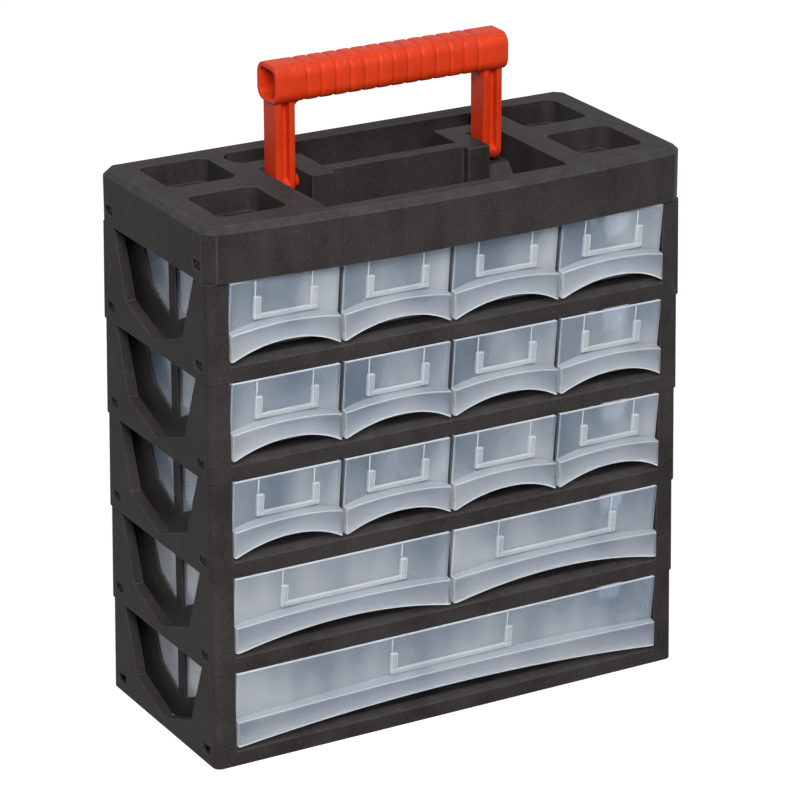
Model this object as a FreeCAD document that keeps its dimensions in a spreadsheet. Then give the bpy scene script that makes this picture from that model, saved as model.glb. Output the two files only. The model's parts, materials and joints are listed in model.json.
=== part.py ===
import FreeCAD, Part
import math
import operator
import os
from types import SimpleNamespace

import Sketcher

# A carried drawer cabinet: five moulded frames, fifteen drawers, a top tray and a folding handle.
# The origin is under the middle of the whole object, +Z is up and the drawers open towards -Y.

# Driving dimensions: name, value in millimetres (slope in degrees), and what it measures
SIZES = [
    ("frame_width", 303.0, "outside width of a drawer frame at its foot"),
    ("frame_depth", 132.0, "front face to back face of a drawer frame"),
    ("row_height", 57.2, "height of one drawer frame"),
    ("front_radius", 4.5, "upright corners at the front"),
    ("back_radius", 4.0, "upright corners at the back"),
    ("wall_lean", 0.7, "outer walls run in towards a frame's top"),
    ("skin", 2.4, "outer wall of the frames and the tray"),
    ("post_width", 13.2, "front post beside the drawers"),
    ("guide_wall", 1.2, "inner wall that guides the drawers"),
    ("divider", 1.4, "upright wall between two drawers"),
    ("divider_setback", 3.0, "divider's front edge behind the frame's face"),
    ("rail_height", 11.5, "floor of the drawers above the frame's foot"),
    ("rail_face", 8.6, "upright part of the front rail"),
    ("rail_run", 4.5, "depth of the front rail's sloped edge"),
    ("rail_wall", 3.0, "thickness of the front rail below its floor"),
    ("deck", 2.2, "thickness of the frames' floor and the tray's top"),
    ("slide_gap", 0.45, "drawer to wall, each side"),
    ("floor_gap", 0.3, "drawer to floor"),
    ("head_gap", 0.7, "drawer to the frame above"),
    ("rear_gap", 1.0, "drawer to back wall"),
    ("notch_middle", 0.0, "middle of the side notch behind the frame's middle"),
    ("notch_top", 49.0, "half width of the side notch at its top"),
    ("notch_shoulder", 34.6, "half width of the side notch at its shoulders"),
    ("notch_shoulder_height", 18.2, "shoulders of the side notch"),
    ("notch_foot", 5.8, "lowest point of the side notch"),
    ("flange_depth", 6.5, "depth of the rim round the side notch"),
    ("flange_wall", 1.5, "thickness of the rim round the side notch"),
    ("window_inset", 9.0, "guide wall's opening inside the side notch"),
    ("bar_width", 8.6, "upright bar across the guide wall's opening"),
    ("snap_width", 9.0, "snap window's width"),
    ("snap_height", 5.0, "snap window's height"),
    ("snap_foot", 6.2, "snap window above the frame's foot"),
    ("snap_front", 12.0, "front snap window's middle behind the front face"),
    ("snap_back", 12.0, "back snap window's middle before the back face"),
    ("clip_wall", 1.5, "thickness of a clip's tongue"),
    ("clip_gap", 0.3, "clip to the wall and window that it snaps into"),
    ("clip_root", 8.0, "clip's root below the frame's top"),
    ("drawer_wall", 1.4, "wall of a drawer"),
    ("drawer_floor", 1.6, "floor of a drawer"),
    ("drawer_corner", 2.0, "upright corners of a drawer"),
    ("drawer_proud", 1.0, "drawer's top edge before the frame's face"),
    ("front_lean", 5.0, "drawer's front runs back towards its foot"),
    ("back_lean", 2.0, "drawer's back runs in towards its foot"),
    ("pull_reach", 5.5, "pull's ends before the frame's face"),
    ("pull_bow", 4.0, "pull's front bows out in the middle"),
    ("pull_ledge", 16.0, "pull's ledge above the drawer's foot at its ends"),
    ("ledge_rise", 4.6, "pull's ledge rises in the middle"),
    ("pull_arch", 9.4, "arch under the pull"),
    ("pull_wall", 1.4, "wall of the pull"),
    ("ledge_slope", 12.0, "ledge falls to the front, in degrees"),
    ("small_flat", 5.5, "level ends of a small drawer's pull"),
    ("large_flat", 11.0, "level ends of a larger drawer's pull"),
    ("small_label", 19.4, "half width of a small drawer's label holder"),
    ("large_label", 40.0, "half width of a larger drawer's label holder"),
    ("label_post", 4.2, "label holder's post width"),
    ("label_bar", 2.6, "label holder's bar height"),
    ("label_foot", 21.8, "label holder above the drawer's foot"),
    ("label_height", 13.2, "label holder's height"),
    ("label_proud", 2.2, "label holder before the drawer's front"),
    ("label_step", 0.5, "shallow step behind the label"),
    ("tray_height", 31.5, "height of the top tray"),
    ("tray_bow", 9.0, "tray's front bows out in the middle"),
    ("tray_edge", 3.4, "flat cut along the tray's top edges"),
    ("tray_cut", 6.2, "flat cut down the tray's corners"),
    ("well_half", 76.5, "half width of the handle well"),
    ("well_rim", 3.6, "well's front edge behind the frame's face"),
    ("block_front", -4.3, "front of the centre block's wall"),
    ("block_wall", 8.3, "thickness of the centre block's wall"),
    ("pillar_front", -10.5, "front of the block's end pillars"),
    ("pillar_inner", 43.0, "inner side of a pillar"),
    ("pillar_outer", 57.0, "outer side of a pillar"),
    ("pocket_step", 30.0, "pillars' back, where the back pocket widens"),
    ("pocket_back", 50.5, "back of the back pocket"),
    ("pocket_half", 84.0, "half width of the back pocket"),
    ("pocket_corner", 8.0, "rounding of the back pocket's corners"),
    ("cup_inner", 93.0, "inner side of a corner compartment"),
    ("cup_side", 42.0, "width of a corner compartment"),
    ("cup_length", 41.5, "length of a corner compartment"),
    ("cup_web", 18.0, "land between two corner compartments"),
    ("cup_depth", 14.0, "depth of a corner compartment"),
    ("cup_corner", 6.0, "rounding of a compartment's upright corners"),
    ("cup_wall", 2.0, "wall of a corner compartment"),
    ("hinge_middle", 10.0, "handle's axis behind the frame's middle"),
    ("hinge_height", 23.8, "handle's axis above the tray's foot"),
    ("pin_radius", 4.0, "handle's moulded pins"),
    ("pin_gap", 0.05, "pin to its hole, all round"),
    ("pin_length", 11.0, "pin's length from the leg"),
    ("leg_inner", 60.2, "inner side of a leg"),
    ("leg_width", 12.5, "width of a leg"),
    ("leg_depth", 15.0, "depth of a leg"),
    ("leg_gap", 0.9, "leg to the tray behind and below it"),
    ("leg_groove", 4.8, "width of the groove in a leg"),
    ("groove_depth", 4.8, "depth of the groove in a leg"),
    ("ramp_run", 14.0, "slope before each leg's seat"),
    ("grip_half", 74.0, "half length of the grip"),
    ("grip_depth", 24.0, "depth of the grip"),
    ("grip_height", 22.0, "height of the grip"),
    ("grip_round", 7.0, "rounding along the grip"),
    ("grip_rise", 47.0, "grip's underside above the handle's axis"),
    ("grip_hollow", 9.0, "depth of the hollow in each end of the grip"),
    ("grip_wall", 3.2, "wall round the grip's hollow ends"),
    ("rib_pitch", 9.1, "ring groove to ring groove along the grip"),
    ("ring_width", 1.6, "width of a ring groove"),
    ("ring_depth", 0.7, "depth of a ring groove"),
    ("gusset", 5.0, "curved corner between leg and grip"),
]
ROWS = [("small_drawer", 4)] * 3 + [("medium_drawer", 2), ("wide_drawer", 1)]
RING_COUNT = 13
SHEET = "Sizes"


class Dim:
    """A size that knows its number now and its formula over the sheet's cells."""

    def __init__(self, value, formula):
        self.value = value
        self.formula = formula

    def _join(self, other, sign, work, swap=False):
        other = as_dim(other)
        left, right = (other, self) if swap else (self, other)
        return Dim(work(left.value, right.value), f"({left.formula} {sign} {right.formula})")

    def __add__(self, other):
        return self._join(other, "+", operator.add)

    def __radd__(self, other):
        return self._join(other, "+", operator.add, swap=True)

    def __sub__(self, other):
        return self._join(other, "-", operator.sub)

    def __rsub__(self, other):
        return self._join(other, "-", operator.sub, swap=True)

    def __mul__(self, other):
        return self._join(other, "*", operator.mul)

    def __rmul__(self, other):
        return self._join(other, "*", operator.mul, swap=True)

    def __truediv__(self, other):
        return self._join(other, "/", operator.truediv)

    def __neg__(self):
        return self * -1


def as_dim(number):
    if isinstance(number, Dim):
        return number
    return Dim(float(number), f"({float(number)})")


def root(square):
    return Dim(math.sqrt(square.value), f"sqrt({square.formula})")


def arc_radius(half_chord, rise):
    return (half_chord * half_chord + rise * rise) / (2 * rise)


doc = FreeCAD.newDocument("DrawerCaddy")
sheet = doc.addObject("Spreadsheet::Sheet", SHEET)
for row, (name, value, note) in enumerate(SIZES, start=1):
    sheet.set(f"A{row}", name)
    sheet.set(f"B{row}", str(value))
    sheet.set(f"C{row}", note)
    sheet.setAlias(f"B{row}", name)
doc.recompute()
S = SimpleNamespace(**{name: Dim(value, f"{SHEET}.{name}") for name, value, note in SIZES})

# Places that several pieces share
half_width = S.frame_width / 2
front = -S.frame_depth / 2
back = S.frame_depth / 2
bay_half = half_width - S.post_width
wall_inside = half_width - S.skin
back_inside = back - S.skin
snap_front = front + S.snap_front
snap_back = back - S.snap_back
stack_height = S.row_height * len(ROWS)
depth_shift = (S.pull_reach + S.pull_bow) / 2
tray_top = S.tray_height
pillar_back = S.pocket_step
leg_back = S.hinge_middle + S.leg_depth / 2
leg_seat = S.hinge_height - S.leg_depth / 2 - S.leg_gap
grip_foot = S.hinge_height + S.grip_rise
MARGIN = 1.0


def new_body(label, across, up):
    """A named body, moved to its place by the sheet."""
    body = doc.addObject("PartDesign::Body", label)
    body.Label = label
    for axis, place in zip("xyz", (across, depth_shift, up)):
        body.setExpression(f"Placement.Base.{axis}", as_dim(place).formula)
    return body


def origin_plane(body, role):
    return next(item for item in body.Origin.OriginFeatures if item.Role == role)


def new_sketch(body, name, role, level=0, shift=None, tilt=None):
    """A sketch on one of the body's own planes, raised along that plane's normal."""
    sketch = body.newObject("Sketcher::SketchObject", name)
    sketch.AttachmentSupport = [(origin_plane(body, role), "")]
    sketch.MapMode = "FlatFace"
    sketch.setExpression("AttachmentOffset.Base.z", as_dim(level).formula)
    if shift is not None:
        sketch.setExpression("AttachmentOffset.Base.y", as_dim(shift).formula)
    if tilt is not None:
        turn = FreeCAD.Rotation(FreeCAD.Vector(1, 0, 0), tilt.value)
        sketch.AttachmentOffset = FreeCAD.Placement(sketch.AttachmentOffset.Base, turn)
        sketch.setExpression("AttachmentOffset.Rotation.Angle", f"{tilt.formula} * 1deg")
    return sketch


def fix(sketch, kind, geometry, point, size):
    index = sketch.addConstraint(Sketcher.Constraint(kind, -1, 1, geometry, point, size.value))
    sketch.setExpression(f"Constraints[{index}]", size.formula)


def arc_between(start, end, radius):
    """Arc from start to end; a positive radius bulges to the right of the way there."""
    chord = end - start
    middle = (start + end) / 2
    side = 1 if radius > 0 else -1
    right = FreeCAD.Vector(chord.y, -chord.x, 0).normalize()
    height = math.sqrt(max(radius * radius - chord.Length ** 2 / 4, 0))
    centre = middle - right * (side * height)
    first, last = (start, end) if side > 0 else (end, start)
    angles = [math.atan2(p.y - centre.y, p.x - centre.x) for p in (first, last)]
    if angles[1] < angles[0]:
        angles[1] += 2 * math.pi
    circle = Part.Circle(centre, FreeCAD.Vector(0, 0, 1), abs(radius))
    return Part.ArcOfCircle(circle, *angles)


def outline(sketch, corners):
    """Closed outline. A corner is (x, y) or (x, y, radius): the radius bends the line that leaves it."""
    points = [(as_dim(corner[0]), as_dim(corner[1])) for corner in corners]
    bends = [corner[2] if len(corner) > 2 else None for corner in corners]
    places = [FreeCAD.Vector(x.value, y.value, 0) for x, y in points]
    count = len(points)
    starts = []
    ends = []
    first = sketch.GeometryCount
    for index in range(count):
        here, there = places[index], places[(index + 1) % count]
        bend = bends[index]
        if bend is None:
            sketch.addGeometry(Part.LineSegment(here, there))
            forward = True
        else:
            sketch.addGeometry(arc_between(here, there, bend.value))
            forward = bend.value > 0
        starts.append(1 if forward else 2)
        ends.append(2 if forward else 1)
    for index in range(count):
        after = (index + 1) % count
        joint = (first + index, ends[index], first + after, starts[after])
        sketch.addConstraint(Sketcher.Constraint("Coincident", *joint))
    for index, (x, y) in enumerate(points):
        fix(sketch, "DistanceX", first + index, starts[index], x)
        fix(sketch, "DistanceY", first + index, starts[index], y)
        bend = bends[index]
        if bend is not None:
            size = bend if bend.value > 0 else -bend
            made = sketch.addConstraint(Sketcher.Constraint("Radius", first + index, size.value))
            sketch.setExpression(f"Constraints[{made}]", size.formula)


def box_outline(sketch, left, right, low, high, corner=None):
    if corner is None:
        outline(sketch, [(left, low), (right, low), (right, high), (left, high)])
        return
    outline(sketch, [
        (left + corner, low), (right - corner, low, corner),
        (right, low + corner), (right, high - corner, corner),
        (right - corner, high), (left + corner, high, corner),
        (left, high - corner), (left, low + corner, corner),
    ])


def corner_cut(radius):
    """Leg of a flat cut that touches the quarter circle of this radius."""
    return radius * (2 - math.sqrt(2))


def eight_sides(sketch, left, right, low, high, corner):
    """A rectangle whose cut corners touch the quarter circles of the corner radius."""
    cut = corner_cut(corner)
    outline(sketch, [
        (left + cut, low), (right - cut, low), (right, low + cut), (right, high - cut),
        (right - cut, high), (left + cut, high), (left, high - cut), (left, low + cut),
    ])


def circle_outline(sketch, x, y, radius):
    x, y = as_dim(x), as_dim(y)
    centre = FreeCAD.Vector(x.value, y.value, 0)
    index = sketch.addGeometry(Part.Circle(centre, FreeCAD.Vector(0, 0, 1), radius.value))
    fix(sketch, "DistanceX", index, 3, x)
    fix(sketch, "DistanceY", index, 3, y)
    made = sketch.addConstraint(Sketcher.Constraint("Radius", index, radius.value))
    sketch.setExpression(f"Constraints[{made}]", radius.formula)


def extrude(kind, body, sketch, length, both_ways=False, reverse=False):
    """A pad or pocket of a sketch, checked against the solid before it."""
    before = body.Shape.Volume if body.Tip else 0.0
    feature = body.newObject(f"PartDesign::{kind}", f"{sketch.Name}_{kind.lower()}")
    feature.Profile = sketch
    feature.setExpression("Length", as_dim(length).formula)
    feature.SideType = "Symmetric" if both_ways else "One side"
    feature.Reversed = reverse
    doc.recompute()
    grown = body.Shape.Volume - before
    if (grown > 0) != (kind == "Pad"):
        raise RuntimeError(f"{body.Label}: {feature.Name} changed nothing")
    return feature


def pad(body, sketch, length, **options):
    return extrude("Pad", body, sketch, length, **options)


def pocket(body, sketch, length, **options):
    return extrude("Pocket", body, sketch, length, **options)


def join(body, other):
    """Fuse another body, drawn in this body's own axes, into this one."""
    feature = body.newObject("PartDesign::Boolean", f"{other.Name}_join")
    feature.Type = "Fuse"
    feature.setObjects([other])
    body.Tip = feature
    doc.recompute()
    return feature


def mirror(body, features, role="YZ_Plane"):
    feature = body.newObject("PartDesign::Mirrored", f"{features[0].Name}_mirror")
    feature.Originals = features
    feature.MirrorPlane = (origin_plane(body, role), [""])
    body.Tip = feature
    doc.recompute()
    return feature


def dress(kind, measure, body, size, wanted):
    """Work on the edges whose direction and middle point pass the test."""
    base = body.Tip
    names = []
    for index, edge in enumerate(base.Shape.Edges, start=1):
        middle = edge.valueAt((edge.FirstParameter + edge.LastParameter) / 2)
        if wanted(edge, middle):
            names.append(f"Edge{index}")
    if not names:
        raise RuntimeError(f"{body.Label}: no edge to work on")
    feature = body.newObject(f"PartDesign::{kind}", f"{base.Name}_{kind.lower()}")
    feature.Base = (base, names)
    feature.setExpression(measure, size.formula)
    doc.recompute()
    return feature


def fillet(body, radius, wanted):
    return dress("Fillet", "Radius", body, radius, wanted)


def chamfer(body, size, wanted):
    return dress("Chamfer", "Size", body, size, wanted)


def upright(edge):
    ends = [vertex.Point for vertex in edge.Vertexes]
    if len(ends) < 2:
        return False
    run = ends[1] - ends[0]
    return abs(run.z) > 0.9 * run.Length


def near(value, size, reach=0.6):
    return abs(value - as_dim(size).value) < reach


def tray_outline(sketch):
    """Footprint of the tray: its front is one wide arc, and its corners are cut flat."""
    bow = arc_radius(half_width, S.tray_bow)
    cut = S.tray_cut
    end_x = half_width - cut
    end_y = front - S.tray_bow + bow - root(bow * bow - end_x * end_x)
    outline(sketch, [
        (-end_x, end_y, bow), (end_x, end_y), (half_width, front + cut), (half_width, back - cut),
        (end_x, back), (-end_x, back), (-half_width, back - cut), (-half_width, front + cut),
    ])


def side_hollow(sketch, inner, side, cut_front, cut_back):
    """Hollow behind a side wall, cut off across the wall's corners."""
    corners = [
        (inner, front + S.rail_wall),
        (wall_inside - cut_front, front + S.rail_wall),
        (wall_inside, front + S.rail_wall + cut_front),
        (wall_inside, back_inside - cut_back),
        (wall_inside - cut_back, back_inside),
        (inner, back_inside),
    ]
    outline(sketch, [(side * x, y) for x, y in corners][::side])


def notch_outline(sketch, top, shoulder, shoulder_height, foot, head):
    """Five-sided notch, open at the frame's top edge."""
    middle = S.notch_middle
    outline(sketch, [
        (middle, foot),
        (middle + shoulder, shoulder_height),
        (middle + top, head),
        (middle - top, head),
        (middle - shoulder, shoulder_height),
    ])


def snap_windows(body):
    sketch = new_sketch(body, f"{body.Name}_snaps", "YZ_Plane", -half_width - MARGIN)
    for middle in (snap_front, snap_back):
        half = S.snap_width / 2
        box_outline(sketch, middle - half, middle + half, S.snap_foot, S.snap_foot + S.snap_height)
    return pocket(body, sketch, S.skin + 2 * MARGIN, reverse=True)


def snap_clip(body, name, middle):
    """Tongue that stands up inside the next storey, with a nose in its snap window."""
    top = S.row_height
    outer = wall_inside - S.clip_gap
    inner = outer - S.clip_wall
    nose = outer + S.skin / 2
    nose_foot = top + S.snap_foot + S.clip_gap
    nose_top = top + S.snap_foot + S.snap_height - S.clip_gap
    sketch = new_sketch(body, f"{body.Name}_{name}", "XZ_Plane", -middle)
    outline(sketch, [
        (-outer, top - S.clip_gap), (-outer, nose_foot), (-nose, nose_foot), (-outer, nose_top),
        (-inner, nose_top), (-inner, top - S.clip_root),
        (-wall_inside - S.skin / 4, top - S.clip_root), (-wall_inside - S.skin / 4, top - S.clip_gap),
    ])
    return pad(body, sketch, S.snap_width - 2 * S.clip_gap, both_ways=True)


def drawer_frame(label, foot, drawers):
    """One storey: floor, posts, guide walls, notched sides, dividers and clips."""
    body = new_body(label, 0, foot)
    shell = new_sketch(body, f"{label}_shell", "XZ_Plane")
    top_half = half_width - S.wall_lean
    outline(shell, [(-half_width, 0), (half_width, 0), (top_half, S.row_height), (-top_half, S.row_height)])
    pad(body, shell, S.frame_depth, both_ways=True)

    lean = new_sketch(body, f"{label}_lean", "YZ_Plane")
    for face, inwards in ((front, 1), (back, -1)):
        outline(lean, [
            (face, 0), (face + inwards * S.wall_lean, S.row_height),
            (face - inwards * MARGIN, S.row_height), (face - inwards * MARGIN, 0),
        ][::-inwards])
    pocket(body, lean, 2 * half_width + 2 * MARGIN, both_ways=True)
    fillet(body, S.front_radius, lambda edge, at: upright(edge) and at.y < 0)
    fillet(body, S.back_radius, lambda edge, at: upright(edge) and at.y > 2 * S.back_radius.value)

    bay = new_sketch(body, f"{label}_bay", "XY_Plane", S.row_height)
    box_outline(bay, -bay_half, bay_half, front - MARGIN, back_inside)
    pocket(body, bay, S.row_height - S.rail_height)

    hollows = new_sketch(body, f"{label}_hollows", "XY_Plane", S.row_height)
    for side in (1, -1):
        side_hollow(hollows, bay_half + S.guide_wall, side, S.front_radius, S.back_radius)
    pocket(body, hollows, S.row_height)

    under = new_sketch(body, f"{label}_under", "XY_Plane")
    box_outline(under, -bay_half, bay_half, front + S.rail_wall, back_inside)
    pocket(body, under, S.rail_height - S.deck, reverse=True)

    slope = new_sketch(body, f"{label}_rail", "YZ_Plane")
    rise = S.rail_height - S.rail_face
    outline(slope, [
        (front - S.rail_run, S.rail_face - rise),
        (front + S.rail_run, S.rail_height),
        (front - S.rail_run, S.rail_height),
    ])
    pocket(body, slope, 2 * bay_half, both_ways=True)

    if drawers > 1:
        walls = new_sketch(body, f"{label}_dividers", "XY_Plane", S.rail_height - S.deck / 2)
        pitch = (2 * bay_half + S.divider) / drawers
        for index in range(1, drawers):
            edge = -bay_half - S.divider + index * pitch
            box_outline(walls, edge, edge + S.divider, front + S.divider_setback, back_inside + S.skin / 2)
        pad(body, walls, S.row_height - S.rail_height + S.deck / 2 - S.head_gap)

    rim = new_sketch(body, f"{label}_rim", "YZ_Plane", -half_width + S.skin / 2)
    wide = S.flange_wall
    notch_outline(rim, S.notch_top + wide, S.notch_shoulder + wide, S.notch_shoulder_height,
                  S.notch_foot - wide, S.row_height)
    rim_pad = pad(body, rim, S.flange_depth - S.skin / 2)

    notch = new_sketch(body, f"{label}_notch", "YZ_Plane", -half_width - MARGIN)
    notch_outline(notch, S.notch_top, S.notch_shoulder, S.notch_shoulder_height, S.notch_foot, S.row_height)
    notch_cut = pocket(body, notch, S.flange_depth + 2 * MARGIN, reverse=True)

    window = new_sketch(body, f"{label}_window", "YZ_Plane", -bay_half - S.guide_wall - MARGIN)
    guide_opening(window)
    window_cut = pocket(body, window, S.guide_wall + 2 * MARGIN, reverse=True)

    snaps = snap_windows(body)
    clips = [snap_clip(body, "clip_front", snap_front), snap_clip(body, "clip_back", snap_back)]
    mirror(body, [rim_pad, notch_cut, window_cut, snaps] + clips)
    return body


def guide_opening(sketch):
    """Opening in a guide wall, like the notch but smaller, parted by an upright bar."""
    middle, half_bar = S.notch_middle, S.bar_width / 2
    shoulder = S.notch_shoulder - S.window_inset
    shoulder_height = S.notch_shoulder_height + S.window_inset
    foot = S.notch_foot + S.window_inset
    top = S.notch_top - S.window_inset
    at_bar = foot + (shoulder_height - foot) * half_bar / shoulder
    corners = [(half_bar, at_bar), (shoulder, shoulder_height), (top, S.row_height), (half_bar, S.row_height)]
    outline(sketch, [(middle + y, z) for y, z in corners])
    outline(sketch, [(middle - y, z) for y, z in corners][::-1])


def drawer(label, column, drawers, foot, label_half, level_end):
    """An open tub with leaning walls, a label holder and a bowed, arched pull."""
    pitch = (2 * bay_half + S.divider) / drawers
    middle = -bay_half - S.divider / 2 + (column + 0.5) * pitch
    body = new_body(label, middle, foot + S.rail_height + S.floor_gap)
    height = S.row_height - S.rail_height - S.floor_gap - S.head_gap
    half = (pitch - S.divider) / 2 - S.slide_gap
    front_top = front - S.drawer_proud
    front_foot = front_top + S.front_lean
    back_top = back_inside - S.rear_gap
    back_foot = back_top - S.back_lean
    wall = S.drawer_wall

    def front_at(z):
        return front_foot - S.front_lean * z / height

    side = new_sketch(body, f"{label}_side", "YZ_Plane")
    outline(side, [(front_foot, 0), (back_foot, 0), (back_top, height), (front_top, height)])
    pad(body, side, 2 * half, both_ways=True)
    chamfer(body, corner_cut(S.drawer_corner), lambda edge, at: upright(edge))

    skirt = doc.addObject("PartDesign::Body", f"{label}_pull")
    pull(skirt, half, front_foot + wall / 2, level_end)
    join(body, skirt)

    inside = new_sketch(body, f"{label}_inside", "YZ_Plane")
    floor = S.drawer_floor
    outline(inside, [
        (front_at(floor) + wall, floor), (back_foot - wall, floor),
        (back_top - wall, height), (front_top + wall, height),
    ])
    pocket(body, inside, 2 * (half - wall), both_ways=True)

    label_holder(body, front_at, height, label_half)
    return body


def pull(body, half, root, level_end):
    """The pull: a bowed skirt under a crowned ledge, arched below and hollow from behind."""
    ends = front - S.pull_reach
    arch_half = half - level_end
    plan = new_sketch(body, f"{body.Name}_pull", "XY_Plane")
    outline(plan, [(-half, ends, arc_radius(half, S.pull_bow)), (half, ends), (half, root), (-half, root)])
    pad(body, plan, S.pull_ledge + S.ledge_rise + S.pull_reach)
    chamfer(body, corner_cut(S.drawer_corner), lambda edge, at: upright(edge) and near(at.y, ends))

    crown = new_sketch(body, f"{body.Name}_crown", "XZ_Plane", -ends, S.pull_ledge, S.ledge_slope)
    beyond = half + MARGIN
    head = S.ledge_rise + 3 * S.pull_reach
    outline(crown, [
        (-beyond, 0), (-beyond, head), (beyond, head), (beyond, 0),
        (arch_half, 0, arc_radius(arch_half, S.ledge_rise)), (-arch_half, 0),
    ])
    pocket(body, crown, 8 * S.pull_reach, both_ways=True)

    arch = new_sketch(body, f"{body.Name}_arch", "XZ_Plane")
    outline(arch, [(arch_half, 0, arc_radius(arch_half, S.pull_arch)), (-arch_half, 0)])
    pocket(body, arch, 4 * S.frame_depth, both_ways=True)
    hollow_pull(body, root)


def hollow_pull(body, root):
    base = body.Tip
    names = []
    for index, face in enumerate(base.Shape.Faces, start=1):
        normal = face.normalAt(*face.Surface.parameter(face.CenterOfMass))
        if normal.z < -0.5 or near(face.CenterOfMass.y, root, 0.01):
            names.append(f"Face{index}")
    shell = body.newObject("PartDesign::Thickness", f"{body.Name}_shell")
    shell.Base = (base, names)
    shell.setExpression("Value", S.pull_wall.formula)
    shell.Reversed = True
    shell.Join = "Intersection"
    doc.recompute()


def label_holder(body, front_at, height, label_half):
    """U-shaped holder on the leaning front, over a shallow step that runs up to the top edge."""
    wall, proud = S.drawer_wall / 2, S.label_proud
    low = S.label_foot
    bar_top = low + S.label_bar
    post_top = low + S.label_height
    above = height + MARGIN

    step = new_sketch(body, f"{body.Name}_step", "YZ_Plane")
    outline(step, [
        (front_at(bar_top) - proud, bar_top), (front_at(bar_top) + S.label_step, bar_top),
        (front_at(above) + S.label_step, above), (front_at(above) - proud, above),
    ])
    pocket(body, step, 2 * (label_half - S.label_post), both_ways=True)

    bar = new_sketch(body, f"{body.Name}_bar", "YZ_Plane")
    outline(bar, [
        (front_at(low) - proud, low), (front_at(low) + wall, low),
        (front_at(bar_top) + wall, bar_top), (front_at(bar_top) - proud, bar_top),
    ])
    pad(body, bar, 2 * label_half, both_ways=True)

    post = new_sketch(body, f"{body.Name}_post", "YZ_Plane", label_half - S.label_post)
    outline(post, [
        (front_at(low) - proud, low), (front_at(low) + wall, low),
        (front_at(post_top) + wall, post_top), (front_at(post_top) - proud, post_top),
    ])
    mirror(body, [pad(body, post, S.label_post)])


def top_tray():
    """The tray: a bowed lid with a handle well, a centre block, a back pocket and four compartments."""
    body = new_body("top_tray", 0, stack_height)
    deep = tray_top - S.deck
    shell = new_sketch(body, "tray_foot", "XY_Plane")
    tray_outline(shell)
    pad(body, shell, tray_top)
    chamfer(body, S.tray_edge, lambda edge, at: near(at.z, tray_top, 0.01))

    hollows = new_sketch(body, "tray_hollows", "XY_Plane")
    behind_cut = S.tray_cut + S.skin * math.sqrt(2) - S.skin
    for side in (1, -1):
        side_hollow(hollows, S.well_half + S.skin, side, behind_cut - S.rail_wall, behind_cut - S.skin)
    pocket(body, hollows, deep, reverse=True)

    well = new_sketch(body, "tray_well", "XY_Plane", tray_top)
    channel_back = leg_back + S.leg_gap
    corners = [
        (S.well_half, front + S.well_rim), (S.well_half, channel_back), (S.pillar_outer, channel_back),
        (S.pillar_outer, S.pillar_front), (S.pillar_inner, S.pillar_front), (S.pillar_inner, S.block_front),
    ]
    outline(well, corners + [(-x, y) for x, y in corners][::-1])
    pocket(body, well, deep)

    recess = new_sketch(body, "tray_pocket", "XY_Plane", tray_top)
    recess_front = S.block_front + S.block_wall
    round_end = S.pocket_corner
    corners = [
        (S.pillar_inner, recess_front), (S.pillar_inner, pillar_back),
        (S.pocket_half - round_end, pillar_back, round_end), (S.pocket_half, pillar_back + round_end),
        (S.pocket_half, S.pocket_back - round_end, round_end), (S.pocket_half - round_end, S.pocket_back),
    ]
    mirrored = [
        (-S.pocket_half + round_end, S.pocket_back, round_end), (-S.pocket_half, S.pocket_back - round_end),
        (-S.pocket_half, pillar_back + round_end, round_end), (-S.pocket_half + round_end, pillar_back),
        (-S.pillar_inner, pillar_back), (-S.pillar_inner, recess_front),
    ]
    outline(recess, corners + mirrored)
    pocket(body, recess, deep)

    outer_side = S.cup_inner + S.cup_side
    half_web = S.cup_web / 2
    cup_ends = [(half_web, half_web + S.cup_length), (-half_web - S.cup_length, -half_web)]
    cups = new_sketch(body, "tray_cups", "XY_Plane", tray_top - S.cup_depth - S.cup_wall)
    wall = S.cup_wall
    for low, high in cup_ends:
        eight_sides(cups, -outer_side - wall, -S.cup_inner + wall, low - wall, high + wall, S.cup_corner)
    cup_pad = pad(body, cups, S.cup_depth + S.cup_wall - S.deck / 2)

    hollow = new_sketch(body, "tray_compartments", "XY_Plane", tray_top)
    for low, high in cup_ends:
        box_outline(hollow, -outer_side, -S.cup_inner, low, high, S.cup_corner)
    cup_cut = pocket(body, hollow, S.cup_depth)

    seat = new_sketch(body, "tray_seat", "YZ_Plane", -S.well_half - S.skin / 2)
    outline(seat, [
        (channel_back + MARGIN, S.deck / 2), (channel_back + MARGIN, leg_seat),
        (S.hinge_middle - S.leg_depth / 2, leg_seat),
        (S.hinge_middle - S.leg_depth / 2 - S.ramp_run, S.deck / 2),
    ])
    seat_pad = pad(body, seat, S.well_half - S.pillar_outer + S.skin)

    bore = new_sketch(body, "tray_bore", "YZ_Plane", -S.pillar_outer - MARGIN)
    circle_outline(bore, S.hinge_middle, S.hinge_height, S.pin_radius + S.pin_gap)
    bore_cut = pocket(body, bore, S.pin_length + MARGIN, reverse=True)

    snaps = snap_windows(body)
    mirror(body, [cup_pad, cup_cut, seat_pad, bore_cut, snaps])
    return body


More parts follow.
